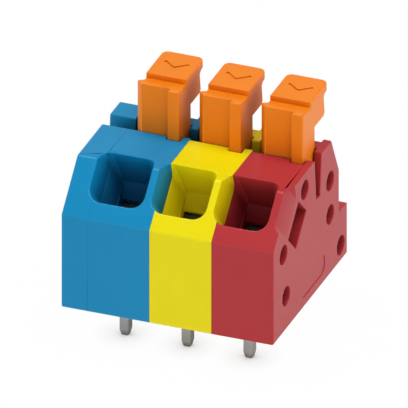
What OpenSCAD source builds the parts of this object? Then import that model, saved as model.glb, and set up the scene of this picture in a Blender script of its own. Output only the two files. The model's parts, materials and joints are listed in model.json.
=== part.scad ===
// Spring-clamp terminal block for a circuit board: three poles in a row with slanted wire funnels,
// push buttons and one solder pin per pole. Millimetres, +Z up, the wires enter from the front (-Y).
// The origin is on the board, at the solder pin of the middle pole.

/* [Row of poles] */
// Distance from one pole to the next
pole_pitch = 5.08; // [4.9:0.01:6.35]
// Thickness of the closing plate at the left end of the row
end_plate_t = 2.16; // [1.6:0.02:4]

/* [Housing outline] */
// Depth of a housing from its upright front to its rear ledge
body_depth = 15.85; // [15.6:0.05:18]
// Height of the flat top above the board
body_h = 11.57; // [11.4:0.01:12.4]
// Height of the upright front, up to the slanted wire face
front_h = 8.1; // [7.9:0.05:8.4]
// Depth of the top from the front to the button's shaft
front_block_d = 8.72; // [8.6:0.02:9.2]
// Depth of the low ledge behind the rear post
ledge_d = 1.72; // [1:0.02:2]
// Height of the low ledge
ledge_h = 4.45; // [3.6:0.05:6]
// How far the rear post leans back from its top to its shoulder
post_lean = 1.63; // [0.8:0.01:1.8]
// Height of the rear post's shoulder
post_shoulder_h = 8.2; // [6.5:0.05:9]
// Depth of the marker seat in the leaning rear of the post
marker_seat_d = 0.45; // [0.2:0.05:0.6]
// Thickness of the wall on each pole's right side
side_wall = 0.67; // [0.5:0.01:0.8]
// Thickness of the upright front wall
front_wall = 1.1; // [0.8:0.05:1.4]
// Thickness of the floor
floor_t = 0.75; // [0.5:0.05:0.95]

/* [Slot beside the button] */
// Distance of the slot's front edge behind the shaft's front
slot_setback = 0.25; // [0.1:0.05:0.5]
// Width of the slot at the top
slot_w = 1.43; // [1:0.01:1.6]
// Depth of the slot below the top
slot_depth = 3.57; // [2:0.05:4]
// How far each face of the slot leans in over its depth
slot_lean = 0.33; // [0.1:0.01:0.4]

/* [Wire funnel] */
// Distance of the wire's axis to the left of the pole's middle
wire_shift = 0.765; // [0.6:0.005:0.9]
// Width of the funnel's mouth
mouth_w = 4.51; // [4:0.01:4.6]
// Length of the mouth up the slanted face
mouth_len = 4.58; // [4.3:0.01:4.65]
// Distance of the mouth's lower edge from the foot of the slanted face
mouth_low = 1.48; // [1.4:0.01:1.6]
// Corner radius at the mouth's lower end
mouth_r = 1.1; // [0.6:0.05:1.4]
// Corner radius at the mouth's upper end
mouth_top_r = 0.7; // [0.3:0.05:1]
// Depth of the funnel square to the slanted face
funnel_depth = 4.2; // [3.8:0.05:4.5]
// Length of the funnel's inner end along the slanted face
inner_len = 3.13; // [2.9:0.01:3.2]
// Corner radius of the funnel's inner end
inner_r = 0.2; // [0.1:0.05:0.5]
// Depth of the slope that leads from the funnel's inner end down to the throat
lead_depth = 0.55; // [0.4:0.05:0.6]
// Width of the throat
throat_w = 2.29; // [2.1:0.01:2.4]
// Length of the throat along the slanted face
throat_len = 1.7; // [1.5:0.05:1.8]
// Distance of the throat's lower edge from the foot of the slanted face
throat_low = 1.6; // [1.5:0.05:1.7]
// Depth from the funnel's inner end to the end of the throat
throat_run = 0.95; // [0.9:0.05:1.1]
// Thickness of the wall under the funnel
funnel_wall = 1.1; // [0.9:0.05:1.3]

/* [Push button] */
// Width of the button, without its guide
button_w = 3.38; // [3.1:0.02:3.5]
// Depth of the button's column
button_d = 2.12; // [1.9:0.02:2.2]
// How far the pointed guide stands out on the left of the column
guide_out = 0.44; // [0.3:0.01:0.48]
// Reach of the guide's slanted front from its tip, to the right and to the front
guide_front = 0.52; // [0.45:0.01:0.6]
// Depth of the guide from the button's front
guide_d = 0.82; // [0.7:0.01:0.9]
// Clearance around the sliding column
slide_gap = 0.06; // [0.05:0.01:0.12]
// Travel of the button when it is pressed
button_travel = 1.6; // [1:0.05:1.65]
// Clearance that is left under the thumb rest of a pressed button
stop_gap = 0.23; // [0.1:0.01:0.5]
// Width of the rib on the right of the button's front
rib_w = 0.95; // [0.6:0.05:1.2]
// How far the rib stands out in front
rib_out = 0.53; // [0.3:0.01:0.6]
// Depth of the blade step in front of the thumb plate
step_d = 1.2; // [0.8:0.05:1.6]
// Height of the riser behind the blade step
riser_h = 0.42; // [0.3:0.01:0.7]
// Rise of the blade step towards the front, per millimetre
step_slope = 0.1; // [0:0.02:0.25]
// Reach of the thumb plate behind the button's front
thumb_reach = 5.05; // [4.6:0.05:5.4]
// Height of the thumb rest
thumb_h = 2.6; // [2.2:0.05:3.2]
// Thickness of the thumb plate's nose
nose_t = 0.75; // [0.5:0.05:1]
// How far the nose stands out over the thumb rest's rear
nose_out = 1; // [0.6:0.05:1.2]
// Backward lean of the thumb rest's rear
rest_lean = 0.2; // [0.05:0.05:0.3]
// Corner radius at the thumb plate's rear
thumb_r = 0.55; // [0.3:0.05:0.8]
// Height of the toe that keeps the button in its shaft
toe_h = 0.6; // [0.4:0.05:0.8]
// How far the toe stands out in front
toe_out = 0.4; // [0.3:0.02:0.45]
// Depth of the arrow engraved in the thumb plate
arrow_depth = 0.1; // [0.05:0.01:0.2]
// Width of the arrow's lines
arrow_line = 0.24; // [0.15:0.01:0.35]
// Length of each of the arrow's two lines
arrow_len = 1.3; // [0.8:0.05:1.5]

/* [Contact bar] */
// Thickness of the contact strip
bar_t = 0.8; // [0.6:0.05:0.85]
// Width of the contact strip
bar_w = 2.4; // [2:0.05:2.8]
// Width of the tongue that the wire is clamped against
tongue_w = 1.9; // [1.6:0.05:2]
// Bend radius at the middle of the contact strip
bar_bend_r = 0.8; // [0.6:0.05:0.9]
// Width of the solder pin
pin_w = 0.8; // [0.6:0.05:1]
// Length of the solder pin below the housing
pin_len = 3.4; // [2.5:0.1:4.5]
// Distance of the solder pins from the housing's front
pin_y = 3.65; // [3.4:0.05:4.2]
// Length of the pin's tapered tip
pin_tip_len = 0.5; // [0.3:0.05:1]
// Width of the pin's flat end
pin_tip_w = 0.58; // [0.3:0.02:0.7]
// Clearance around the solder pin in the floor
pin_gap = 0.1; // [0.05:0.01:0.2]

/* [Clamp spring] */
// Thickness of the spring strip
spring_t = 0.35; // [0.25:0.01:0.4]
// Width of the spring strip
spring_w = 3.3; // [3:0.05:3.4]
// Radius of the spring's bow at the middle of the strip
bow_r = 1.1; // [0.95:0.05:1.15]
// Distance of the clamping leg behind the throat
clamp_run = 0.45; // [0.4:0.05:0.7]
// Height of the bar that closes the spring's window
end_bar_h = 0.6; // [0.4:0.05:0.7]
// Clearance between the spring and what it presses on
spring_gap = 0.05; // [0.03:0.01:0.1]
// Clearance of the window at each side of the tongue
window_gap = 0.15; // [0.1:0.01:0.2]

/* [Pegs and sockets] */
// Radius of the peg sockets on the right side
socket_r = 0.8; // [0.6:0.05:0.85]
// Depth of the peg sockets
socket_depth = 0.7; // [0.5:0.05:1]
// Clearance around a peg and at its end
peg_gap = 0.05; // [0.02:0.01:0.1]
// Wall around a socket's boss
boss_wall = 0.35; // [0.25:0.05:0.5]
// Distance of the upper front peg from the front
upper_peg_in = 2.26; // [2.1:0.02:2.4]
// Distance of the lower front peg from the front
lower_peg_in = 2.82; // [2.6:0.02:3]
// Distance of the upper front peg below the upright front's top
upper_peg_drop = 1.29; // [1.2:0.01:1.4]
// Distance of the lower front peg above the floor
lower_peg_rise = 2.18; // [2:0.02:2.3]
// Distance of the top peg from the button's shaft
top_peg_in = 1.89; // [1.7:0.01:2]
// Distance of the top peg below the top
top_peg_drop = 1.41; // [1.3:0.01:1.5]
// Distance of the post's two pegs from its rear
post_peg_in = 1.88; // [1.7:0.01:2]
// Distance of the post's upper peg below its shoulder
shoulder_peg_drop = 0.05; // [0:0.01:0.3]
// Distance of the post's lower peg above the ledge
ledge_peg_rise = 0.77; // [0.7:0.01:0.9]
// Distance of the ledge's peg from the rear
rear_peg_in = 1.35; // [1.2:0.01:1.5]
// Height of the ledge's peg above the board
rear_peg_h = 1.39; // [1.3:0.01:1.6]

/* [Funnel cheek] */
// Distance of the cheek's lower end above the mouth's lower edge, along the slanted face
cheek_rise = 0.55; // [0.45:0.01:0.65]
// Depth of the cheek's upper side square to the slanted face
cheek_d0 = 2.74; // [2.6:0.01:2.85]
// Length of the cheek that closes the funnel on the left, along the slanted face
cheek_len = 3.02; // [2.8:0.02:3.2]
// Height of the cheek square to the slanted face
cheek_h = 2.18; // [1.9:0.02:2.3]
// How far the cheek stands out to the left
cheek_out = 0.8; // [0.5:0.05:0.9]

/* [Side panel] */
// Length of the shallow panel on the right side
panel_len = 5.1; // [3:0.1:6]
// Height of the panel
panel_h = 1.65; // [1.5:0.05:2]
// Corner radius of the panel
panel_r = 0.7; // [0.3:0.05:0.75]
// Depth of the panel
panel_depth = 0.06; // [0.05:0.01:0.2]
// Distance of the panel's rear end from the front
panel_rear = 11.1; // [9:0.1:12]
// Height of the panel's lower edge above the board
panel_low = 0.87; // [0.8:0.01:1.2]

/* [Hidden] */
$fn = 48;

BLUE = "#2e86b8";
YELLOW = "#e8d828";
RED = "#b0444a";
ORANGE = "#ee8626";
STEEL = "#b9bcc0";
TIN = "#c9cac6";

// The middle pole carries the origin
middle_pole = 1;
// Cuts run past the faces that they open by this much
over = 0.5;
// The slanted face rises at 45 degrees, so both parts of a step along it are this share of the step
diagonal = sqrt(0.5);

// Across a pole, from its left side
wire_x = pole_pitch / 2 - wire_shift;
cavity_x1 = pole_pitch - side_wall;
button_x1 = cavity_x1 - slide_gap;
button_x0 = button_x1 - button_w;
guide_x = button_x0 - guide_out;
rib_x0 = button_x1 - rib_w;

// From the front to the rear
post_rear = body_depth - ledge_d;
post_top_rear = post_rear - post_lean;
button_y0 = front_block_d + slide_gap;
button_y1 = button_y0 + button_d;
button_mid_y = (button_y0 + button_y1) / 2;
shaft_rear = button_y1 + slide_gap;
slot_y0 = front_block_d + slot_setback;
slot_y1 = slot_y0 + slot_w;
step_y = button_y0 + step_d;
nose_y = button_y0 + thumb_reach;
rest_y = nose_y - nose_out;
toe_y = button_y0 - toe_out;
rib_y = button_y0 - rib_out;

// Along the slanted face and square to it
mouth_high = mouth_low + mouth_len;
throat_high = throat_low + throat_len;
throat_end = funnel_depth + throat_run;
throat_step = 0.08;
inner_w = throat_w + 2 * throat_step;
inner_low = throat_low - throat_step;
inner_high = inner_low + inner_len;
lead_high = inner_high - throat_step;
funnel_lead = 1;
lip_section = 0.01;
bend_steps = 12;

// The contact's tongue lies along the throat's upper wall, behind the throat
tongue_gap = 0.13;
tongue_mid = throat_high + bar_t / 2;
tongue_top = throat_high + bar_t;
tongue_start = throat_end + tongue_gap;

// The spring's two legs stand square to the tongue, and its bow lies under the button's middle
clamp_leg = throat_end + clamp_run;
support_leg = clamp_leg + 2 * bow_r;
bow_mid = clamp_leg + bow_r;
bow_end = button_mid_y / diagonal - bow_mid;
bow_top_z = front_h + (bow_end - bow_mid) * diagonal + bow_r + spring_t / 2;
end_bar_top = throat_high - spring_gap;
end_bar_low = end_bar_top - end_bar_h;
window_head = 0.3;

// The contact leaves the tongue past the support leg and drops to the floor
leg_room = 0.46;
riser_d = support_leg + spring_t / 2 + leg_room;
bar_floor_z = floor_t + bar_t / 2;

// Heights of the button
foot_z = bow_top_z + spring_gap;
toe_z = foot_z + toe_h;
rest_z = body_h + button_travel + stop_gap;
top_z = rest_z + thumb_h;
step_z = top_z - riser_h;

// The chamber around contact and spring
chamber_gap = 0.25;
chamber_back = button_mid_y + bow_r + spring_t / 2 + chamber_gap;
tongue_top_z = front_h + (tongue_top - tongue_start) * diagonal;
leg_top_z = front_h + toe_y - slide_gap - (2 * clamp_leg - spring_t) * diagonal;
chamber_top = max(tongue_top_z, leg_top_z) + chamber_gap;
shaft_step_z = foot_z + chamber_gap;
funnel_base = throat_low - funnel_wall;

// Pegs and sockets, as distances from the front and from the board; a peg's root ends beside the spring
peg_r = socket_r - peg_gap;
peg_len = socket_depth - peg_gap;
peg_root = wire_x - spring_w / 2 - spring_gap;
boss_r = socket_r + boss_wall;
FRONT_PEGS = [[upper_peg_in, front_h - upper_peg_drop],
              [lower_peg_in, floor_t + lower_peg_rise]];
REAR_PEGS = [[front_block_d - top_peg_in, body_h - top_peg_drop],
             [post_rear - post_peg_in, post_shoulder_h - shoulder_peg_drop],
             [post_rear - post_peg_in, ledge_h + ledge_peg_rise],
             [body_depth - rear_peg_in, rear_peg_h]];
PEGS = concat(FRONT_PEGS, REAR_PEGS);

// The cheek's place, its root in the housing, and the room around it in the next pole's pocket
cheek_t0 = mouth_low + cheek_rise;
cheek_root = 0.05;
cheek_gap = 0.06;

// The hollow that keeps the rear ledge's walls even
ledge_wall = 0.85;
hollow_y0 = chamber_back + ledge_wall;
hollow_y1 = body_depth - rear_peg_in - boss_r;
hollow_z0 = floor_t;
hollow_z1 = rear_peg_h + boss_r;
hollow_z2 = ledge_h - ledge_wall;

// The arrow on the thumb plate points to the front
arrow_x = (button_x0 + button_x1) / 2;
arrow_y = (step_y + nose_y) / 2 - arrow_len / 3;
arrow_angle = 50;

// A point given along the slanted face and square to it, seen from the side
function slope(along, depth) = [(along + depth) * diagonal, front_h + (along - depth) * diagonal];

// The funnel's section at a depth below the slanted face
function blend(mouth, inner, depth) = mouth + (inner - mouth) * depth / funnel_depth;

function housing_outline() = [
    [0, 0], [0, front_h], [body_h - front_h, body_h], [post_top_rear, body_h],
    [post_rear, post_shoulder_h], [post_rear, ledge_h], [body_depth, ledge_h], [body_depth, 0]];

// The throat and the slope that leads down to it, drawn along the slanted face
function throat_outline() = [
    [throat_low, over - funnel_depth], [lead_high, over - funnel_depth], [lead_high, -funnel_depth],
    [throat_high, -funnel_depth - lead_depth], [throat_high, -throat_end - over],
    [throat_low, -throat_end - over]];

function slot_outline(front) = [
    [front, body_h + over], [front, body_h], [front + slot_lean, body_h - slot_depth],
    [slot_y1 - slot_lean, body_h - slot_depth], [slot_y1, body_h], [slot_y1, body_h + over]];

function chamber_outline() = [
    [front_wall, floor_t], [chamber_back, floor_t],
    [chamber_back, shaft_step_z], [shaft_rear, shaft_step_z],
    [shaft_rear, body_h + over], [front_block_d, body_h + over],
    [front_block_d, toe_z + slide_gap], [toe_y - slide_gap, toe_z + slide_gap],
    [toe_y - slide_gap, chamber_top],
    slope((chamber_top - front_h) / diagonal + throat_end, throat_end),
    slope(funnel_base, throat_end),
    [front_wall, front_h - front_wall + 2 * funnel_base * diagonal]];

function marker_outline() = [
    [post_top_rear - marker_seat_d, body_h + over], [post_top_rear - marker_seat_d, body_h],
    [post_rear - marker_seat_d, post_shoulder_h], [post_rear + over, post_shoulder_h],
    [post_rear + over, body_h + over]];

function hollow_outline() = [
    [hollow_y0, hollow_z0], [hollow_y1, hollow_z0], [hollow_y1, hollow_z1],
    [body_depth - ledge_wall, hollow_z1], [body_depth - ledge_wall, hollow_z2], [hollow_y0, hollow_z2]];

// Height of the blade step, which rises towards the front
function step_top(y) = step_z + (step_y - y) * step_slope;

function column_outline(front) = [
    [front, foot_z], [button_y1, foot_z], [button_y1, step_z], [step_y, step_z], [front, step_top(front)]];

function thumb_outline() = [
    [step_y, rest_z], [rest_y, rest_z], [rest_y + rest_lean, rest_z + rest_lean],
    [rest_y, top_z - nose_t - rest_lean], [rest_y + rest_lean, top_z - nose_t],
    [nose_y, top_z - nose_t], [nose_y, top_z], [step_y, top_z]];

// Places a pole's pieces in the row
module at_pole(pole) {
    translate([(pole - middle_pole) * pole_pitch - wire_x, -pin_y, 0]) children();
}

// Draws a side view from x0 to x1 across the pole
module across(x0, x1) {
    translate([x0, 0, 0]) rotate([90, 0, 90]) linear_extrude(x1 - x0) children();
}

// A rectangle in the side view, given along the slanted face and square to it
module slope_rect(along0, along1, depth0, depth1) {
    translate([0, front_h]) rotate(45) translate([along0, -depth1])
        square([along1 - along0, depth1 - depth0]);
}

// One rounded section of the funnel
module funnel_section(depth) {
    half_w = blend(mouth_w, inner_w, depth) / 2;
    low = blend(mouth_low, inner_low, depth);
    high = blend(mouth_high, inner_high, depth);
    low_r = blend(mouth_r, inner_r, depth);
    high_r = blend(mouth_top_r, inner_r, depth);
    for (side = [-1, 1], corner = [[low + low_r, low_r], [high - high_r, high_r]])
        translate([wire_x + side * (half_w - corner[1]), corner[0], -depth])
            cylinder(r = corner[1], h = lip_section, $fn = 32);
}

// The space that guides a wire in: a funnel, and a straight throat in the lower part of its inner end
module wire_way() {
    translate([0, 0, front_h]) rotate([45, 0, 0]) hull() {
        funnel_section(-funnel_lead);
        funnel_section(funnel_depth);
    }
    across(wire_x - throat_w / 2, wire_x + throat_w / 2)
        translate([0, front_h]) rotate(45) polygon(throat_outline());
}

// Round pieces that lie across the pole at the peg places
module at_pegs(places, x) {
    for (place = places) translate([x, place[0], place[1]]) rotate([0, 90, 0]) children();
}

// Sockets, pocket, half funnel and slot that every right side has
module right_side_cuts(side_x, wall, slot_front) {
    at_pegs(PEGS, side_x - socket_depth) cylinder(r = socket_r, h = socket_depth + over);
    across(side_x - cheek_out - cheek_gap, side_x + over)
        slope_rect(cheek_t0 - cheek_gap, cheek_t0 + cheek_len + cheek_gap,
                   cheek_d0 - cheek_gap, cheek_d0 + cheek_h + cheek_gap);
    translate([side_x, 0, 0]) wire_way();
    across(side_x - wall - over, side_x + over) polygon(slot_outline(slot_front));
}

// The hollow for contact, spring and button, with the bosses of the front pegs left standing in it
module chamber() {
    across(-over, cavity_x1) difference() {
        polygon(chamber_outline());
        for (place = FRONT_PEGS) {
            translate(place) circle(boss_r);
            translate([0, place[1] - socket_r]) square([place[0], 2 * socket_r]);
        }
    }
    translate([rib_x0 - slide_gap, rib_y - slide_gap, chamber_top - over])
        cube([cavity_x1 - rib_x0 + slide_gap, rib_out + slide_gap, body_h - chamber_top + 2 * over]);
}

// A shallow panel with round corners, seen from the side
module panel_shape() {
    y0 = panel_rear - panel_len;
    z1 = panel_low + panel_h;
    translate([y0 + panel_r, panel_low]) square([panel_len - 2 * panel_r, panel_h]);
    translate([y0, panel_low + panel_r]) square([panel_len, panel_h - 2 * panel_r]);
    for (y = [y0 + panel_r, panel_rear - panel_r], z = [panel_low + panel_r, z1 - panel_r])
        translate([y, z]) circle(panel_r);
}

// One moulded pole housing, open on its left side
module housing() {
    difference() {
        union() {
            difference() {
                across(0, pole_pitch) polygon(housing_outline());
                chamber();
                across(-over, cavity_x1) polygon(hollow_outline());
                across(-over, cavity_x1) polygon(marker_outline());
            }
            at_pegs(PEGS, -peg_len) cylinder(r = peg_r, h = peg_len + peg_root);
            across(-cheek_out, cheek_root)
                slope_rect(cheek_t0, cheek_t0 + cheek_len, cheek_d0, cheek_d0 + cheek_h);
        }
        wire_way();
        right_side_cuts(pole_pitch, side_wall, slot_y0);
        across(pole_pitch - panel_depth, pole_pitch + over) panel_shape();
        translate([-over, pin_y - bar_t / 2 - pin_gap, -over])
            cube([wire_x + pin_w / 2 + pin_gap + over, bar_t / 2 + pin_gap + bar_bend_r,
                  floor_t + 2 * over]);
    }
}

// The plate that closes the open left side of the first pole
module closing_plate() {
    difference() {
        across(-end_plate_t, 0) polygon(housing_outline());
        right_side_cuts(0, end_plate_t, front_block_d);
    }
}

// The thumb plate's outline from above, with round rear corners
module thumb_plan() {
    translate([button_x0, step_y]) square([button_w, nose_y - thumb_r - step_y]);
    translate([button_x0 + thumb_r, step_y]) square([button_w - 2 * thumb_r, nose_y - step_y]);
    for (x = [button_x0 + thumb_r, button_x1 - thumb_r]) translate([x, nose_y - thumb_r]) circle(thumb_r);
}

// The column's outline from above, with the pointed guide on its left
module column_plan() {
    polygon([[guide_x + guide_front, button_y0], [button_x1, button_y0], [button_x1, button_y1],
             [button_x0, button_y1], [button_x0, button_y0 + guide_d], [guide_x, button_y0 + guide_front]]);
}

// Two lines that meet at the front
module arrow() {
    for (line_angle = [90 - arrow_angle, 90 + arrow_angle])
        translate([arrow_x, arrow_y, top_z - arrow_depth]) rotate(line_angle)
            translate([0, -arrow_line / 2, 0]) cube([arrow_len, arrow_line, arrow_depth + over]);
}

// A push button: column with guide, rib and toe, blade step and thumb rest
module button() {
    difference() {
        union() {
            intersection() {
                across(guide_x, button_x1) polygon(column_outline(button_y0));
                translate([0, 0, foot_z - over]) linear_extrude(top_z - foot_z + 2 * over) column_plan();
            }
            across(rib_x0, button_x1) polygon(column_outline(rib_y));
            translate([button_x0, toe_y, foot_z]) cube([rib_x0 - button_x0, toe_out + button_d / 2, toe_h]);
            intersection() {
                across(button_x0, button_x1) polygon(thumb_outline());
                translate([0, 0, rest_z - over]) linear_extrude(thumb_h + 2 * over) thumb_plan();
            }
        }
        arrow();
    }
}

// Points along an arc, with angles in degrees
function arc(centre, r, from, to) = [
    for (k = [0 : bend_steps]) centre + r * ray(from + (to - from) * k / bend_steps)];

// Unit vector at an angle
function ray(angle) = [cos(angle), sin(angle)];

// Angle of the straight that leaves a path's point i
function heading(path, i) = atan2(path[i + 1][1] - path[i][1], path[i + 1][0] - path[i][0]);

// Signed angle by which a path turns at its point i
function turn(path, i) = let (change = heading(path, i) - heading(path, i - 1))
    change > 180 ? change - 360 : change < -180 ? change + 360 : change;

// One side of the bend at a path's point i: side is 1 on the left of the path and -1 on its right
function bend_side(path, i, r, t, side) = let (
        angle = turn(path, i),
        way = sign(angle),
        start = heading(path, i - 1),
        reach = r * tan(abs(angle) / 2),
        centre = path[i] - reach * ray(start) + way * r * ray(start + 90))
    arc(centre, side * t / 2 - way * r, start + 90, start + 90 + angle);

// One side of a strip that follows a path, with the same bend at every corner
function strip_side(path, r, t, side) = let (last = len(path) - 1) concat(
    [path[0] + side * t / 2 * ray(heading(path, 0) + 90)],
    [for (i = [1 : last - 1]) each bend_side(path, i, r, t, side)],
    [path[last] + side * t / 2 * ray(heading(path, last - 1) + 90)]);

function reversed(points) = [for (i = [len(points) - 1 : -1 : 0]) points[i]];

// A bent strip in the side view
module strip(path, r, t) {
    polygon(concat(strip_side(path, r, t, 1), reversed(strip_side(path, r, t, -1))));
}

// The clamp spring's outline, drawn along the slanted face: clamping leg, bow and support leg
function spring_outline() = let (bow_centre = [bow_end, -bow_mid], half_t = spring_t / 2) concat(
    [[end_bar_low, half_t - clamp_leg]],
    arc(bow_centre, bow_r + half_t, 90, -90),
    [[tongue_top + spring_gap, -half_t - support_leg], [tongue_top + spring_gap, half_t - support_leg]],
    arc(bow_centre, bow_r - half_t, -90, 90),
    [[end_bar_low, -half_t - clamp_leg]]);

// The clamp spring: a bow between a support leg and a clamping leg with a window for the tongue
module spring() {
    window_w = tongue_w + 2 * window_gap;
    difference() {
        across(wire_x - spring_w / 2, wire_x + spring_w / 2)
            translate([0, front_h]) rotate(45) polygon(spring_outline());
        across(wire_x - window_w / 2, wire_x + window_w / 2)
            slope_rect(end_bar_top, bow_end - window_head, clamp_leg - spring_t, clamp_leg + spring_t);
    }
}

// The solder pin seen from the front or from the side, with its tapered tip down
module pin_shape(w, top) {
    polygon([[-w / 2, top], [w / 2, top], [w / 2, pin_tip_len - pin_len], [pin_tip_w / 2, -pin_len],
             [-pin_tip_w / 2, -pin_len], [-w / 2, pin_tip_len - pin_len]]);
}

// The contact bar: tongue, riser and floor run of full width, and the narrow solder pin
module contact() {
    riser_foot = slope(tongue_mid, riser_d);
    pin_neck = pin_y + bar_w / 2;
    tongue_end = slope(tongue_mid, tongue_start);
    bar_path = [tongue_end, riser_foot, [riser_foot[0], bar_floor_z], [pin_neck, bar_floor_z]];
    neck_path = [[riser_foot[0] - bar_bend_r, bar_floor_z], [pin_y, bar_floor_z], [pin_y, -over]];
    difference() {
        across(wire_x - bar_w / 2, wire_x + bar_w / 2) strip(bar_path, bar_bend_r, bar_t);
        for (side = [-1, 1])
            translate([side * (tongue_w + bar_w) / 2 + wire_x, 0, 0]) across(-bar_w / 2, bar_w / 2)
                slope_rect(throat_high - over, tongue_top + over, tongue_start - over, support_leg);
    }
    across(wire_x - pin_w / 2, wire_x + pin_w / 2) strip(neck_path, bar_bend_r, bar_t);
    intersection() {
        across(wire_x - pin_w / 2, wire_x + pin_w / 2) translate([pin_y, 0]) pin_shape(bar_t, 0);
        translate([wire_x, pin_y + bar_t / 2, 0]) rotate([90, 0, 0])
            linear_extrude(bar_t) pin_shape(pin_w, 0);
    }
}

module end_plate() { color(BLUE) at_pole(0) closing_plate(); }
module housing_blue() { color(BLUE) at_pole(0) housing(); }
module housing_yellow() { color(YELLOW) at_pole(1) housing(); }
module housing_red() { color(RED) at_pole(2) housing(); }
module push_button(pole) { color(ORANGE) at_pole(pole) button(); }
module clamp_spring(pole) { color(STEEL) at_pole(pole) spring(); }
module contact_bar(pole) { color(TIN) at_pole(pole) contact(); }

end_plate();
housing_blue();
housing_yellow();
housing_red();
push_button(0);  // push_button_1
push_button(1);  // push_button_2
push_button(2);  // push_button_3
clamp_spring(0);  // clamp_spring_1
clamp_spring(1);  // clamp_spring_2
clamp_spring(2);  // clamp_spring_3
contact_bar(0);  // contact_bar_1
contact_bar(1);  // contact_bar_2
contact_bar(2);  // contact_bar_3
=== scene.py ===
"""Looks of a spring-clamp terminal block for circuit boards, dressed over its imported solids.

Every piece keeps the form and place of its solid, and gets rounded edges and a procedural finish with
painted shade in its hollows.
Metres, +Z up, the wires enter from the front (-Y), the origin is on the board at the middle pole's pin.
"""

import json
import logging
import math
from dataclasses import dataclass, field
from enum import Enum
from typing import Any, Callable, Mapping, Optional, Sequence, Union

import bmesh
import bpy
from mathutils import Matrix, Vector


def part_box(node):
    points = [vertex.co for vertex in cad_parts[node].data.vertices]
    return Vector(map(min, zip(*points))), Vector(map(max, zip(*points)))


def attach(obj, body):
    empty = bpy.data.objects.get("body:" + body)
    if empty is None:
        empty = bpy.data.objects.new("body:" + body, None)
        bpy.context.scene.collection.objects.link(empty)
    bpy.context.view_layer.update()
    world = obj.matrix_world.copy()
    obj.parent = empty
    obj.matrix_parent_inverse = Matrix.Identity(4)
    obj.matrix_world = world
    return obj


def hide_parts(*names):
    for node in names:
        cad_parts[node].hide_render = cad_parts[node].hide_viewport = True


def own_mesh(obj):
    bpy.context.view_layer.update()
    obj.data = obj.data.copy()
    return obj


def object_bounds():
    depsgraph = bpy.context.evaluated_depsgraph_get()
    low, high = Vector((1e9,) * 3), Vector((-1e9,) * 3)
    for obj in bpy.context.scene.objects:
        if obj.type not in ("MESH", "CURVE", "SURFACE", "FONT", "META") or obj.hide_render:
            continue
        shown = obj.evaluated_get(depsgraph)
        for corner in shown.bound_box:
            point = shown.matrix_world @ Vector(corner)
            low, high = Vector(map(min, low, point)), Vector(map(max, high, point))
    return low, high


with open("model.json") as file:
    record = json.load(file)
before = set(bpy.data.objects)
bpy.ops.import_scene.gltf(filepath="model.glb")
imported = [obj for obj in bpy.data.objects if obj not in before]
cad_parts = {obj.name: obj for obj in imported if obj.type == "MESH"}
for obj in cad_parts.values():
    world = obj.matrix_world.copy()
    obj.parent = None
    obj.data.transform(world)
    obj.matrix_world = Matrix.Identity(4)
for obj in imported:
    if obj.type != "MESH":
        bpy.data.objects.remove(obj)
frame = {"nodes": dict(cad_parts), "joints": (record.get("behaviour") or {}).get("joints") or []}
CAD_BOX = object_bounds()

log = logging.getLogger("terminal_block")

MM = 0.001
IMAGE_PX = 408
PLANE_TOLERANCE = 0.004 * MM
OPENNESS_SAMPLES = 8
WHITE = (1.0, 1.0, 1.0, 1.0)
EVEN_STRETCH = (1.0, 1.0, 1.0)

CLEAR_RAYS = ("Is Camera Ray", "Is Transmission Ray")
MIRRORED_RAY = "Is Glossy Ray"

Triple = tuple[float, float, float]
Colour = Triple


class Pole(Enum):
    """The poles in the row, from the closing plate to the bare side."""

    BLUE = 1
    YELLOW = 2
    RED = 3

    @property
    def housing(self) -> str:
        """Name of the pole's housing."""
        return f"housing_{self.name.lower()}"

    @property
    def press(self) -> str:
        """Name of the joint that the pole's button moves on."""
        return f"button_{self.value}_press"


class Body(Enum):
    """The bodies that pieces ride on, other than the buttons' own."""

    BLOCK = "block"


class Signal:
    """A number that varies over a surface and can be used in Python expressions."""

    def __init__(self, sheet: "NodeSheet", socket: bpy.types.NodeSocket) -> None:
        """Wraps a socket.

        Args:
            sheet: The node sheet that the socket is on.
            socket: The output that carries the number.
        """
        self.sheet = sheet
        self.socket = socket

    def _math(self, operation: str, first: "Number", second: "Number") -> "Signal":
        """Adds a Math node.

        Args:
            operation: The node's operation.
            first: Its first value.
            second: Its second value.

        Returns:
            The node's result.
        """
        node = self.sheet.node("ShaderNodeMath", {"operation": operation}, {0: first, 1: second})
        return Signal(self.sheet, node.outputs[0])

    def __add__(self, other: "Number") -> "Signal":
        """This plus other."""
        return self._math("ADD", self, other)

    def __radd__(self, other: "Number") -> "Signal":
        """Other plus this."""
        return self._math("ADD", other, self)

    def __sub__(self, other: "Number") -> "Signal":
        """This minus other."""
        return self._math("SUBTRACT", self, other)

    def __rsub__(self, other: "Number") -> "Signal":
        """Other minus this."""
        return self._math("SUBTRACT", other, self)

    def __mul__(self, other: "Number") -> "Signal":
        """This times other."""
        return self._math("MULTIPLY", self, other)

    def __rmul__(self, other: "Number") -> "Signal":
        """Other times this."""
        return self._math("MULTIPLY", other, self)

    def at_least(self, other: "Number") -> "Signal":
        """The larger of this and other."""
        return self._math("MAXIMUM", self, other)

    def ramp(self, low: float, high: float) -> "Signal":
        """Rises smoothly from 0 at low to 1 at high.

        Args:
            low: Value where the rise starts.
            high: Value where it ends.

        Returns:
            The eased value, from 0 to 1.
        """
        node = self.sheet.node("ShaderNodeMapRange", {"interpolation_type": "SMOOTHSTEP"},
                               {"Value": self, "From Min": low, "From Max": high})
        return Signal(self.sheet, node.outputs["Result"])

    def band(self, bounds: Sequence[float]) -> "Signal":
        """Rises from 0 to 1 between the first two bounds, and falls again between the last two."""
        return self.ramp(bounds[0], bounds[1]) * (1 - self.ramp(bounds[2], bounds[3]))


Number = Union[float, Signal]
Tint = Union[Colour, bpy.types.NodeSocket]


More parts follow.
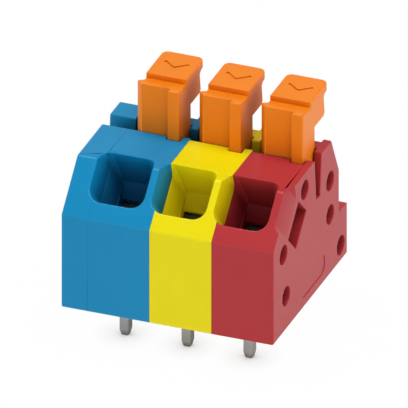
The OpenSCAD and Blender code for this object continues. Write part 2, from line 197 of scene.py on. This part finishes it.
@dataclass(frozen=True)
class PaintedHollowShade:
    """Painted shade: how much a finish's colour is darkened in hollows that little light reaches."""

    reach: float = 5.0 * MM
    closed_to: float = 0.16
    open_from: float = 0.6
    painted_darkest: float = 0.3
    duller: float = 0.3


class NodeSheet:
    """The nodes of one material or of the world."""

    def __init__(self, tree: bpy.types.NodeTree) -> None:
        """Empties a node tree.

        Args:
            tree: The tree to draw on.
        """
        self.tree = tree
        tree.nodes.clear()

    def node(self, kind: str, settings: Optional[Mapping[str, Any]] = None,
             sockets: Optional[Mapping[Union[int, str], Any]] = None) -> bpy.types.Node:
        """Adds a node.

        Args:
            kind: The node's type.
            settings: Its settings, which are set before its sockets.
            sockets: Values or links of its sockets, by index, name or identifier.

        Returns:
            The new node.
        """
        node = self.tree.nodes.new(kind)
        for name, value in (settings or {}).items():
            setattr(node, name, value)
        for key, value in (sockets or {}).items():
            socket = self._input(node, key)
            source = value.socket if isinstance(value, Signal) else value
            if isinstance(source, bpy.types.NodeSocket):
                self.tree.links.new(source, socket)
            else:
                socket.default_value = source
        return node

    @staticmethod
    def _input(node: bpy.types.Node, key: Union[int, str]) -> bpy.types.NodeSocket:
        """Finds an input socket.

        Args:
            node: The node.
            key: The socket's index, identifier or name.

        Returns:
            The socket.
        """
        if isinstance(key, int):
            return node.inputs[key]
        return next((s for s in node.inputs if s.identifier == key), None) or node.inputs[key]

    def noise(self, wavelength: float, detail: float, stretch: Triple = EVEN_STRETCH) -> Signal:
        """Adds a noise over the surface.

        Args:
            wavelength: Its size in metres.
            detail: How many finer layers it has.
            stretch: Its length along each axis, as a multiple of the wavelength.

        Returns:
            A value around 0.5.
        """
        place = self.node("ShaderNodeTexCoord").outputs["Object"]
        if stretch != EVEN_STRETCH:
            shrink = tuple(1.0 / s for s in stretch)
            squeezed = self.node("ShaderNodeVectorMath", {"operation": "MULTIPLY"}, {0: place, 1: shrink})
            place = squeezed.outputs["Vector"]
        node = self.node("ShaderNodeTexNoise", {"noise_dimensions": "3D"},
                         {"Vector": place, "Scale": 1.0 / wavelength, "Detail": detail})
        return Signal(self, node.outputs["Fac"])

    def mix(self, factor: Number, first: Tint, second: Tint) -> bpy.types.NodeSocket:
        """Mixes two colours.

        Args:
            factor: Share of the second colour.
            first: The first colour, or the socket that carries it.
            second: The second colour, or its socket.

        Returns:
            The mixed colour.
        """
        tints = [(*t, 1.0) if isinstance(t, tuple) else t for t in (first, second)]
        node = self.node("ShaderNodeMix", {"data_type": "RGBA"},
                         {"Factor_Float": factor, "A_Color": tints[0], "B_Color": tints[1]})
        return next(s for s in node.outputs if s.identifier == "Result_Color")

    def openness(self, reach: float) -> Signal:
        """How much of the space around a point is open.

        Args:
            reach: How far to look, in metres.

        Returns:
            1 on open faces, less in corners, near 0 deep in a hollow.
        """
        node = self.node("ShaderNodeAmbientOcclusion", {"samples": OPENNESS_SAMPLES}, {"Distance": reach})
        return Signal(self, node.outputs["AO"])

    def hollow(self, shade: PaintedHollowShade) -> Signal:
        """Mask for painted shade: tells hollows from open faces.

        Args:
            shade: How much painted shade a finish gets in hollows.

        Returns:
            1 deep in a hollow, 0 on open faces.
        """
        return 1 - self.openness(shade.reach).ramp(shade.closed_to, shade.open_from)

    def bump(self, height: Signal, depth: float, strength: float) -> bpy.types.NodeSocket:
        """Turns a height into a normal.

        Args:
            height: The height, from 0 to 1.
            depth: Depth of the relief in metres.
            strength: How much of it shows.

        Returns:
            The normal.
        """
        node = self.node("ShaderNodeBump", None,
                         {"Strength": strength, "Distance": depth, "Height": height})
        return node.outputs["Normal"]

    def surface(self, shader: bpy.types.NodeSocket, kind: str = "ShaderNodeOutputMaterial") -> None:
        """Sends a shader to the output.

        Args:
            shader: The shader.
            kind: The type of the output node.
        """
        self.node(kind, None, {"Surface": shader})


def new_material(name: str) -> tuple[bpy.types.Material, NodeSheet]:
    """Makes an empty material.

    Args:
        name: Its name.

    Returns:
        The material and its node sheet.
    """
    material = bpy.data.materials.new(name)
    material.use_nodes = True
    return material, NodeSheet(material.node_tree)


def finish_name(slot: str) -> str:
    """Name of the material that dresses a slot."""
    return f"{slot}_finish"


def scaled(colour: Colour, factor: float) -> Colour:
    """Colour with each part times factor, at most 1."""
    return tuple(min(1.0, c * factor) for c in colour)


@dataclass(frozen=True)
class MouldedPlastic:
    """A satin injection-moulded plastic with a fine eroded grain."""

    slot: str
    colour: Colour
    shade_spread: float = 0.05
    roughness: float = 0.37
    specular: float = 0.21
    ior: float = 1.5
    cloud_size: float = 2.4 * MM
    cloud_detail: float = 3.0
    cloud_share: float = 0.7
    cloud_rough: float = 0.10
    speck_size: float = 0.16 * MM
    speck_detail: float = 2.0
    speck_rough: float = 0.08
    rough_offset: float = -0.09
    grain_size: float = 0.055 * MM
    grain_detail: float = 4.0
    grain_share: float = 0.8
    grain_depth: float = 0.004 * MM
    grain_strength: float = 0.22
    hollows: PaintedHollowShade = PaintedHollowShade()

    def material(self) -> bpy.types.Material:
        """Makes the finish.

        Returns:
            The material.
        """
        material, sheet = new_material(finish_name(self.slot))
        cloud = sheet.noise(self.cloud_size, self.cloud_detail)
        speck = sheet.noise(self.speck_size, self.speck_detail)
        grain = sheet.noise(self.grain_size, self.grain_detail)
        shade = cloud * self.cloud_share + speck * (1.0 - self.cloud_share)
        base = sheet.mix(shade, scaled(self.colour, 1.0 - self.shade_spread),
                         scaled(self.colour, 1.0 + self.shade_spread))
        # Painted shade: where the occlusion mask finds a hollow, the base colour is darkened towards a set
        # share of itself, and the roughness rises there too.
        hollow = sheet.hollow(self.hollows)
        rough = cloud * self.cloud_rough + speck * self.speck_rough + hollow * self.hollows.duller
        relief = grain * self.grain_share + speck * (1.0 - self.grain_share)
        shader = sheet.node("ShaderNodeBsdfPrincipled", None, {
            "Base Color": sheet.mix(hollow, base, scaled(self.colour, self.hollows.painted_darkest)),
            "Roughness": rough + (self.roughness + self.rough_offset),
            "Specular IOR Level": self.specular, "IOR": self.ior,
            "Normal": sheet.bump(relief, self.grain_depth, self.grain_strength)})
        sheet.surface(shader.outputs["BSDF"])
        return material


@dataclass(frozen=True)
class StripMetal:
    """A rolled and stamped metal strip with fine lines along its length."""

    slot: str
    colour: Colour
    roughness: float
    line_stretch: Triple
    line_size: float = 0.05 * MM
    line_detail: float = 2.0
    line_share: float = 0.4
    line_rough: float = 0.1
    line_depth: float = 0.003 * MM
    line_strength: float = 0.3
    blotch_size: float = 0.7 * MM
    blotch_detail: float = 3.0
    blotch_rough: float = 0.12
    rough_offset: float = -0.1
    shade_spread: float = 0.12
    hollow_metal_loss: float = 0.5
    hollows: PaintedHollowShade = PaintedHollowShade(open_from=0.5, painted_darkest=0.3)

    def material(self) -> bpy.types.Material:
        """Makes the finish.

        Returns:
            The material.
        """
        material, sheet = new_material(finish_name(self.slot))
        lines = sheet.noise(self.line_size, self.line_detail, self.line_stretch)
        blotch = sheet.noise(self.blotch_size, self.blotch_detail)
        shade = lines * self.line_share + blotch * (1.0 - self.line_share)
        base = sheet.mix(shade, scaled(self.colour, 1.0 - self.shade_spread),
                         scaled(self.colour, 1.0 + self.shade_spread))
        # Painted shade: where the occlusion mask finds a hollow, the base colour is darkened towards a set
        # share of itself, the strip is made less metallic and its roughness rises.
        hollow = sheet.hollow(self.hollows)
        rough = lines * self.line_rough + blotch * self.blotch_rough + hollow * self.hollows.duller
        shader = sheet.node("ShaderNodeBsdfPrincipled", None, {
            "Base Color": sheet.mix(hollow, base, scaled(self.colour, self.hollows.painted_darkest)),
            "Roughness": rough + (self.roughness + self.rough_offset),
            "Metallic": 1 - hollow * self.hollow_metal_loss,
            "Normal": sheet.bump(lines, self.line_depth, self.line_strength)})
        sheet.surface(shader.outputs["BSDF"])
        return material


class Finish(Enum):
    """The finishes of the block's pieces."""

    # Each darkest share sets how dark the painted shade in that finish's hollows gets.
    BLUE = MouldedPlastic("blue_plastic", (0.004, 0.262, 0.530), hollows=PaintedHollowShade(painted_darkest=0.45))
    YELLOW = MouldedPlastic("yellow_plastic", (0.900, 0.775, 0.002), hollows=PaintedHollowShade(painted_darkest=0.76))
    RED = MouldedPlastic("red_plastic", (0.480, 0.036, 0.042), hollows=PaintedHollowShade(painted_darkest=0.48))
    ORANGE = MouldedPlastic("orange_plastic", (0.960, 0.244, 0.005),
                            hollows=PaintedHollowShade(open_from=0.78, painted_darkest=0.45))
    STEEL = StripMetal("spring_steel", (0.50, 0.51, 0.52), roughness=0.30, line_stretch=(20.0, 1.0, 1.0))
    TIN = StripMetal("tinned_copper", (0.52, 0.51, 0.49), roughness=0.42, line_stretch=(1.0, 1.0, 14.0))

    @property
    def slot(self) -> str:
        """Name of the material slot that the finish stands for."""
        return self.value.slot

    def material(self) -> bpy.types.Material:
        """Material of this finish, made once."""
        return bpy.data.materials.get(finish_name(self.slot)) or self.value.material()


EdgeWidth = Callable[[Vector], float]


@dataclass(frozen=True)
class EdgeRounder:
    """Copies a solid and rounds each of its outer edges by a width of its own."""

    sharp_deg: float = 25.0
    smooth_deg: float = 35.0
    straight_deg: float = 25.0
    flat_deg: float = 0.5
    merge: float = 0.022 * MM
    widest: float = 0.4 * MM
    segments: int = 3
    shared_part: float = 0.45
    free_part: float = 0.9

    def skin(self, node: str, width_of: EdgeWidth) -> bpy.types.Object:
        """Builds the rounded piece that stands for a solid.

        Args:
            node: Name of the solid.
            width_of: Gives the rounding's width for the middle of an edge.

        Returns:
            The new object, in the solid's place.
        """
        mesh = bpy.data.meshes.new(f"{node}_skin")
        shape = bmesh.new()
        shape.from_mesh(frame["nodes"][node].data)
        bmesh.ops.remove_doubles(shape, verts=shape.verts, dist=self.merge)
        bmesh.ops.dissolve_limit(shape, angle_limit=math.radians(self.flat_deg),
                                 verts=shape.verts, edges=shape.edges)
        bmesh.ops.recalc_face_normals(shape, faces=shape.faces)
        self._weigh(shape, width_of)
        for face in shape.faces:
            face.smooth = True
        shape.to_mesh(mesh)
        shape.free()
        piece = bpy.data.objects.new(f"{node}_skin", mesh)
        bpy.context.scene.collection.objects.link(piece)
        self._round(piece)
        return piece

    def _weigh(self, shape: bmesh.types.BMesh, width_of: EdgeWidth) -> None:
        """Writes each outer edge's rounding as a weight.

        Args:
            shape: The shape to mark.
            width_of: Gives the rounding's width for the middle of an edge.
        """
        weight = shape.edges.layers.float.new("bevel_weight_edge")
        sharp = math.radians(self.sharp_deg)
        rounded = {e for e in shape.edges if e.is_manifold and e.calc_face_angle_signed() > sharp}
        for edge in rounded:
            middle = (edge.verts[0].co + edge.verts[1].co) / 2
            edge[weight] = min(width_of(middle), self._room(edge, rounded)) / self.widest

    def _room(self, edge: bmesh.types.BMEdge, rounded: set[bmesh.types.BMEdge]) -> float:
        """Finds the widest rounding that an edge's neighbours leave room for.

        Args:
            edge: The edge.
            rounded: All edges that are rounded.

        Returns:
            The width in metres.
        """
        room = self.widest
        straight = math.radians(self.straight_deg)
        for vert in edge.verts:
            away = edge.other_vert(vert).co - vert.co
            for other in vert.link_edges:
                if other is edge:
                    continue
                along = other.other_vert(vert).co - vert.co
                angle = away.angle(along)
                if angle > math.pi - straight:
                    continue
                part = self.shared_part if other in rounded else self.free_part
                room = min(room, part * along.length * math.sin(angle))
        return room

    def _round(self, piece: bpy.types.Object) -> None:
        """Rounds the weighted edges, and shades the piece smooth across all but its sharp edges.

        Args:
            piece: The piece to round.
        """
        bevel = piece.modifiers.new("rounded_edges", "BEVEL")
        bevel.limit_method = "WEIGHT"
        bevel.width = self.widest
        bevel.segments = self.segments
        bevel.use_clamp_overlap = False
        bevel.loop_slide = False
        plain = piece.data
        graph = bpy.context.evaluated_depsgraph_get()
        piece.data = bpy.data.meshes.new_from_object(piece.evaluated_get(graph))
        piece.data.set_sharp_from_angle(angle=math.radians(self.smooth_deg))
        piece.modifiers.remove(bevel)
        bpy.data.meshes.remove(plain)
        normals = piece.modifiers.new("even_normals", "WEIGHTED_NORMAL")
        normals.keep_sharp = True


@dataclass
class Piece:
    """A piece of the block that is built over one solid."""

    node: str
    body: str
    finish: Finish
    rounder: EdgeRounder = field(default_factory=EdgeRounder)
    skin: Optional[bpy.types.Object] = None

    def __post_init__(self) -> None:
        """Reads the solid's box from the frame."""
        self.low, self.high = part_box(self.node)

    def edge_width(self, place: Vector) -> float:
        """Rounding of the edge at a place.

        Args:
            place: The middle of the edge.

        Returns:
            The width in metres.
        """
        raise NotImplementedError

    def build(self) -> None:
        """Builds the rounded piece and puts it on its body."""
        self.skin = self.rounder.skin(self.node, self.edge_width)
        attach(self.skin, self.body)
        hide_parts(self.node)
        self.finish.slot

    def dress(self) -> None:
        """Gives the piece its finish."""
        self.skin.data.materials.clear()
        self.skin.data.materials.append(self.finish.material())
        faces = len(self.skin.data.polygons)
        log.info("%s: %d faces, finish of %s", self.skin.name, faces, self.finish.slot)


def on_plane(value: float, plane: float) -> bool:
    """True if a coordinate lies on a plane."""
    return abs(value - plane) < PLANE_TOLERANCE


@dataclass
class Moulding(Piece):
    """A moulded piece with the row's outline: upright front, slanted wire face and flat top."""

    front_h: float = 8.1 * MM
    rim: float = 0.16 * MM
    side_edge: float = 0.07 * MM
    seam: float = 0.03 * MM
    lip: float = 0.14 * MM
    lip_reach: float = 1.56 * MM
    funnel_depth: float = 4.2 * MM
    scoop: float = 0.03 * MM
    scoop_depth: float = 1.9 * MM
    plain: float = 0.1 * MM

    def behind_slope(self, place: Vector) -> float:
        """Depth of a place square to the slanted face's plane."""
        return (place.y - self.low.y - (place.z - self.front_h)) / math.sqrt(2)

    def on_outline(self, place: Vector) -> bool:
        """True on the outer edges of the front, the slanted face and the bottom.

        Args:
            place: The middle of an edge.

        Returns:
            Whether the edge gets the wide rim.
        """
        low_edge = on_plane(place.z, 0.0) or on_plane(place.y, self.low.y)
        on_side = on_plane(place.x, self.high.x) or on_plane(place.x, self.low.x)
        slope_end = on_side or on_plane(place.z, self.high.z)
        return low_edge or (slope_end and on_plane(self.behind_slope(place), 0.0))

    def on_lip(self, place: Vector) -> bool:
        """True on the rounded upper lip of the wire funnel, where it opens into the top."""
        near_slope = PLANE_TOLERANCE < self.behind_slope(place) < self.lip_reach
        return on_plane(place.z, self.high.z) and near_slope

    def in_scoop(self, place: Vector) -> bool:
        """True on the side of the shallow half funnel that a neighbour's mouth leaves.

        Args:
            place: The middle of an edge on the right side.

        Returns:
            Whether the edge lies near the slanted face, above the upright front.
        """
        in_depth = PLANE_TOLERANCE < self.behind_slope(place) < self.scoop_depth
        return in_depth and place.z > self.front_h - self.scoop_depth

    def side_width(self, place: Vector) -> float:
        """Rounding of an edge on a bare outer side.

        Args:
            place: The middle of the edge.

        Returns:
            The width in metres.
        """
        if self.in_scoop(place):
            return self.scoop
        outer = self.on_outline(place) or on_plane(place.z, self.high.z)
        return self.rim if outer else self.side_edge

    def face_width(self, place: Vector) -> float:
        """Rounding of an edge between the two sides: none at the funnel's narrow inner end.

        Args:
            place: The middle of the edge.

        Returns:
            The width in metres.
        """
        if on_plane(self.behind_slope(place), self.funnel_depth):
            return 0.0
        if self.on_lip(place):
            return self.lip
        return self.rim if self.on_outline(place) else self.plain


@dataclass
class Housing(Moulding):
    """A moulded pole housing, with its wire funnel and its side sockets."""

    bare_side: bool = False

    def edge_width(self, place: Vector) -> float:
        """Rounding of the edge at a place: fine on seams, wide on the funnel's upper lip.

        Args:
            place: The middle of the edge.

        Returns:
            The width in metres.
        """
        if on_plane(place.x, self.high.x):
            return self.side_width(place) if self.bare_side else self.seam
        if on_plane(place.x, self.high.x - pole_pitch()):
            return self.seam
        return self.face_width(place)


@dataclass
class EndPlate(Moulding):
    """The plate that closes the open left side of the row."""

    def edge_width(self, place: Vector) -> float:
        """Rounding of the edge at a place: fine on the seam, wide on the outer side.

        Args:
            place: The middle of the edge.

        Returns:
            The width in metres.
        """
        if on_plane(place.x, self.high.x):
            return self.seam
        if on_plane(place.x, self.low.x):
            return self.rim
        return self.face_width(place)


@dataclass
class PushButton(Piece):
    """A push button with its thumb plate and an engraved arrow."""

    rim: float = 0.12 * MM
    engraving: float = 0.02 * MM
    plate_w: float = 3.38 * MM
    margin: float = 0.3 * MM

    def edge_width(self, place: Vector) -> float:
        """Rounding of the edge at a place: fine in the engraved arrow.

        Args:
            place: The middle of the edge.

        Returns:
            The width in metres.
        """
        plate_x = self.high.x - self.plate_w
        inner_x = plate_x + self.margin < place.x < self.high.x - self.margin
        inner_y = place.y < self.high.y - self.margin
        if on_plane(place.z, self.high.z) and inner_x and inner_y:
            return self.engraving
        return self.rim


@dataclass
class ContactBar(Piece):
    """The folded contact strip whose end is the solder pin."""

    pin_edge: float = 0.09 * MM
    strip_edge: float = 0.05 * MM

    def edge_width(self, place: Vector) -> float:
        """Rounding of the edge at a place: wider on the solder pin below the board.

        Args:
            place: The middle of the edge.

        Returns:
            The width in metres.
        """
        return self.pin_edge if place.z < 0.0 else self.strip_edge


@dataclass
class ClampSpring(Piece):
    """The folded clamp spring, which its button presses flat."""

    pole: Pole = Pole.BLUE
    strip_edge: float = 0.05 * MM
    foot_z: float = 5.4 * MM

    def edge_width(self, place: Vector) -> float:
        """Rounding of every edge of the strip."""
        return self.strip_edge

    def build(self) -> None:
        """Builds the spring and gives it a mesh of its own."""
        super().build()
        press = next(j for j in frame["joints"] if j["name"] == self.pole.press)
        height = self.high.z - self.foot_z
        keep = (height - press["range_m"][1]) / height
        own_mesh(self.skin)


def pole_pitch() -> float:
    """Distance from one pole to the next, in metres."""
    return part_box(Pole.YELLOW.housing)[1].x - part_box(Pole.BLUE.housing)[1].x


@dataclass(frozen=True)
class SoftBox:
    """An area lamp that looks at the block."""

    name: str
    place: Triple
    width: float
    height: float
    power: float

    def build(self, target: Vector) -> None:
        """Adds the lamp.

        Args:
            target: The point that it looks at.
        """
        data = bpy.data.lights.new(self.name, "AREA")
        data.shape = "RECTANGLE"
        data.size = self.width
        data.size_y = self.height
        data.energy = self.power
        lamp = bpy.data.objects.new(self.name, data)
        lamp.location = self.place
        lamp.rotation_mode = "QUATERNION"
        lamp.rotation_quaternion = (target - lamp.location).to_track_quat("-Z", "Y")
        bpy.context.scene.collection.objects.link(lamp)
        log.info("%s: %.2f W", self.name, self.power)


@dataclass
class Studio:
    """Floor, light, surroundings and camera."""

    azimuth_deg: float = 20.95
    elevation_deg: float = 28.8
    px_per_mm: float = 13.056
    origin_px: tuple[float, float] = (187.93, 305.88)
    camera_distance: float = 0.2
    clip_ratio: float = 100.0
    floor_size: float = 3.0
    floor_colour: Colour = (0.96, 0.96, 0.96)
    floor_glow: float = 0.985
    shade_reach: float = 2.4 * MM
    mirrored_reach: float = 9.0 * MM
    contact_colour: Colour = (0.40, 0.40, 0.40)
    contact_reach: float = 1.4 * MM
    horizon: float = 1.18
    dome_shade: float = 0.95
    dome_from_deg: float = 10.0
    dome_to_deg: float = 45.0
    lamps: Sequence[SoftBox] = (
        SoftBox("overhead_softbox", (0.0, 0.0, 0.45), width=0.60, height=0.24, power=1.66),
        SoftBox("right_softbox", (0.33, -0.23, 0.14), width=0.24, height=0.30, power=0.10),
    )
    low_strip: Sequence[float] = (0.05, 0.17, 0.30, 0.42)
    low_strip_across: Sequence[float] = (-0.55, -0.42, -0.20, -0.08)
    low_strip_depth: Sequence[float] = (-0.10, 0.0)
    low_strip_gain: float = 3.0
    high_strip: Sequence[float] = (0.80, 0.88)
    high_strip_depth: Sequence[float] = (-0.30, -0.10, 0.30, 0.45)
    high_strip_gain: float = 7.0

    def build(self) -> None:
        """Builds the whole studio."""
        centre = (CAD_BOX[0] + CAD_BOX[1]) / 2
        self._floor(CAD_BOX[0].z)
        self._world()
        for lamp in self.lamps:
            lamp.build(centre)
        self._camera()
        bpy.context.scene.view_settings.view_transform = "Standard"

    @staticmethod
    def _rays(sheet: NodeSheet, *names: str) -> Signal:
        """Tells some kinds of ray from the others.

        Args:
            sheet: The node sheet to use.
            names: The kinds of ray.

        Returns:
            1 for rays of these kinds, otherwise 0.
        """
        path = sheet.node("ShaderNodeLightPath").outputs
        found = Signal(sheet, path[names[0]])
        for name in names[1:]:
            found = found.at_least(Signal(sheet, path[name]))
        return found

    def _floor(self, height: float) -> None:
        """Adds the pale floor, which shows white and keeps the block's shadow, partly real and partly
        painted.

        Args:
            height: Height of the floor.
        """
        half = self.floor_size / 2
        mesh = bpy.data.meshes.new("floor")
        corners = [(-half, -half, height), (half, -half, height),
                   (half, half, height), (-half, half, height)]
        mesh.from_pydata(corners, [], [(0, 1, 2, 3)])
        floor = bpy.data.objects.new("floor", mesh)
        bpy.context.scene.collection.objects.link(floor)
        material, sheet = new_material("pale_floor")
        # Painted shade: an occlusion mask withdraws the white glow near the block, which lets the paper's
        # real shadow show there.
        shown = self._rays(sheet, *CLEAR_RAYS) * sheet.openness(self.shade_reach)
        mirrored = self._rays(sheet, MIRRORED_RAY) * sheet.openness(self.mirrored_reach)
        glow = sheet.node("ShaderNodeEmission", None, {"Color": WHITE})
        # Painted contact shadow: the paper's colour darkens towards a grey where the occlusion mask finds
        # the block close by.
        paper_with_painted_shadow = sheet.mix(sheet.openness(self.contact_reach), self.contact_colour, self.floor_colour)
        paper = sheet.node("ShaderNodeBsdfPrincipled", None, {
            "Base Color": paper_with_painted_shadow, "Roughness": 1.0, "Specular IOR Level": 0.0})
        both = sheet.node("ShaderNodeMixShader", None, {
            0: (shown + mirrored) * self.floor_glow,
            1: paper.outputs["BSDF"], 2: glow.outputs["Emission"]})
        sheet.surface(both.outputs["Shader"])
        mesh.materials.append(material)
        log.info("floor at %.2f mm", height / MM)

    def _world(self) -> None:
        """Makes the surroundings: white to the camera, for the block a bright horizon and a dark ceiling."""
        world = bpy.data.worlds.new("studio")
        world.use_nodes = True
        bpy.context.scene.world = world
        sheet = NodeSheet(world.node_tree)
        shown = self._rays(sheet, *CLEAR_RAYS)
        way = sheet.node("ShaderNodeTexCoord").outputs["Generated"]
        parts = sheet.node("ShaderNodeSeparateXYZ", None, {0: way}).outputs
        across, depth, rise = (Signal(sheet, parts[axis]) for axis in "XYZ")
        dome_from, dome_to = (math.sin(math.radians(d)) for d in (self.dome_from_deg, self.dome_to_deg))
        ceiling = rise.ramp(dome_from, dome_to)
        strength = shown + (1 - shown) * (1 - ceiling * self.dome_shade) * self.horizon
        strength = strength + self._rays(sheet, MIRRORED_RAY) * self._strips(across, depth, rise)
        back = sheet.node("ShaderNodeBackground", None, {"Color": WHITE, "Strength": strength})
        sheet.surface(back.outputs["Background"], "ShaderNodeOutputWorld")

    def _strips(self, across: Signal, depth: Signal, rise: Signal) -> Signal:
        """Strips of light in front of the block and over it, which its rounded edges mirror.

        Args:
            across: How far a ray's direction points to the right.
            depth: How far it points to the back.
            rise: How far it points up.

        Returns:
            The strips' strength, 0 away from them.
        """
        in_front = 1 - depth.ramp(*self.low_strip_depth)
        low = rise.band(self.low_strip) * across.band(self.low_strip_across) * in_front
        high = rise.ramp(*self.high_strip) * depth.band(self.high_strip_depth)
        return low * self.low_strip_gain + high * self.high_strip_gain

    def _camera(self) -> None:
        """Adds the camera, which sees the origin at its pixel of the picture."""
        azimuth, elevation = math.radians(self.azimuth_deg), math.radians(self.elevation_deg)
        right = Vector((math.cos(azimuth), math.sin(azimuth), 0.0))
        back = Vector((math.sin(azimuth) * math.cos(elevation), -math.cos(azimuth) * math.cos(elevation),
                       math.sin(elevation)))
        up = back.cross(right)
        scale = MM / self.px_per_mm
        across = (IMAGE_PX / 2 - self.origin_px[0]) * scale
        rise = (self.origin_px[1] - IMAGE_PX / 2) * scale
        data = bpy.data.cameras.new("camera")
        data.type = "ORTHO"
        data.ortho_scale = IMAGE_PX * scale
        data.clip_start = self.camera_distance / self.clip_ratio
        data.clip_end = self.camera_distance * self.clip_ratio
        camera = bpy.data.objects.new("camera", data)
        camera.location = right * across + up * rise + back * self.camera_distance
        camera.rotation_mode = "QUATERNION"
        camera.rotation_quaternion = (-back).to_track_quat("-Z", "Y")
        bpy.context.scene.collection.objects.link(camera)
        bpy.context.scene.camera = camera
        log.info("camera at azimuth %.2f, elevation %.2f", self.azimuth_deg, self.elevation_deg)


def block_pieces() -> list[Piece]:
    """Lists the block's pieces.

    Returns:
        The pieces, from the closing plate to the contacts.
    """
    block = Body.BLOCK.value
    pieces: list[Piece] = [EndPlate("end_plate", block, Finish.BLUE)]
    for pole in Pole:
        number = pole.value
        pieces.append(Housing(pole.housing, block, Finish[pole.name], bare_side=pole is Pole.RED))
        pieces.append(PushButton(f"push_button_{number}", f"button_{number}", Finish.ORANGE))
        pieces.append(ClampSpring(f"clamp_spring_{number}", block, Finish.STEEL, pole=pole))
        pieces.append(ContactBar(f"contact_bar_{number}", block, Finish.TIN))
    return pieces


def main() -> None:
    """Builds and dresses the block and its studio."""
    logging.basicConfig(level=logging.INFO, format="%(name)s: %(message)s")
    for piece in block_pieces():
        piece.build()
        piece.dress()
    Studio().build()


if __name__ == "__main__":
    main()
